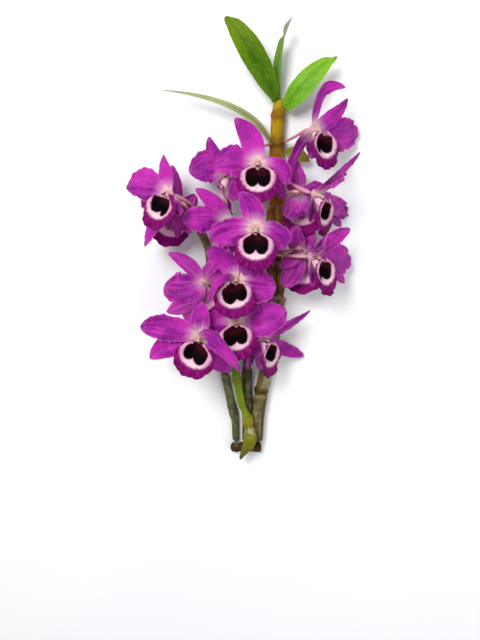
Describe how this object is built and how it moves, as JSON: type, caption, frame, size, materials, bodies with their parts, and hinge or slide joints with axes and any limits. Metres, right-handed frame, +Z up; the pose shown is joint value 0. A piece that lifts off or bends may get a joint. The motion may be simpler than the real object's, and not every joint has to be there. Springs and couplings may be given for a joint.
{
  "type": "dendrobium orchid stem",
  "caption": "Cut orchid stem lying on its back: leafy jointed cane with shorter canes at one rootstock, and magenta blooms with dark-throated lips along it.",
  "frame": {"origin": "middle of the underside of the box round the whole stem, on the surface that it lies on", "axes": "+Y runs along the stem from the cut rootstock to the leaf tips, +Z points up from the surface towards the side that the picture shows, +X is the picture's right"},
  "size_m": [0.2002, 0.3964, 0.0793],
  "materials": {
    "tepal_magenta": "satin",
    "lip_maroon": "matte",
    "stalk_pink": "satin",
    "cane_golden": "satin",
    "cane_grey": "matte",
    "cane_dark": "satin",
    "cane_young": "satin",
    "rootstock_brown": "matte",
    "leaf_green": "satin",
    "leaf_pale": "matte"
  },
  "bodies": {
    "root": {"bloom_01_tepals": "tepal_magenta", "bloom_01_lip": "lip_maroon", "bloom_01_stalk": "stalk_pink", "bloom_02_tepals": "tepal_magenta", "bloom_02_lip": "lip_maroon", "bloom_02_stalk": "stalk_pink", "bloom_03_tepals": "tepal_magenta", "bloom_03_lip": "lip_maroon", "bloom_03_stalk": "stalk_pink", "bloom_04_tepals": "tepal_magenta", "bloom_04_lip": "lip_maroon", "bloom_04_stalk": "stalk_pink", "bloom_05_tepals": "tepal_magenta", "bloom_05_lip": "lip_maroon", "bloom_05_stalk": "stalk_pink", "bloom_06_tepals": "tepal_magenta", "bloom_06_lip": "lip_maroon", "bloom_06_stalk": "stalk_pink", "bloom_07_tepals": "tepal_magenta", "bloom_07_lip": "lip_maroon", "bloom_07_stalk": "stalk_pink", "bloom_08_tepals": "tepal_magenta", "bloom_08_lip": "lip_maroon", "bloom_08_stalk": "stalk_pink", "bloom_09_tepals": "tepal_magenta", "bloom_09_lip": "lip_maroon", "bloom_09_stalk": "stalk_pink", "bloom_10_tepals": "tepal_magenta", "bloom_10_lip": "lip_maroon", "bloom_10_stalk": "stalk_pink", "bloom_11_tepals": "tepal_magenta", "bloom_11_lip": "lip_maroon", "bloom_11_stalk": "stalk_pink", "bloom_12_tepals": "tepal_magenta", "bloom_12_lip": "lip_maroon", "bloom_12_stalk": "stalk_pink", "bloom_13_tepals": "tepal_magenta", "bloom_13_lip": "lip_maroon", "bloom_13_stalk": "stalk_pink", "bloom_14_tepals": "tepal_magenta", "bloom_14_lip": "lip_maroon", "bloom_14_stalk": "stalk_pink", "bloom_15_tepals": "tepal_magenta", "bloom_15_lip": "lip_maroon", "bloom_15_stalk": "stalk_pink", "bloom_16_tepals": "tepal_magenta", "bloom_16_lip": "lip_maroon", "bloom_16_stalk": "stalk_pink", "cane_leafy": "cane_golden", "cane_left": "cane_grey", "cane_back": "cane_dark", "cane_young": "cane_young", "rootstock": "rootstock_brown", "leaf_broad_left": "leaf_green", "leaf_broad_right": "leaf_green", "leaf_narrow_top": "leaf_green", "leaf_old_thin": "leaf_pale", "leaf_bract": "leaf_green"}
  },
  "joints": []
}
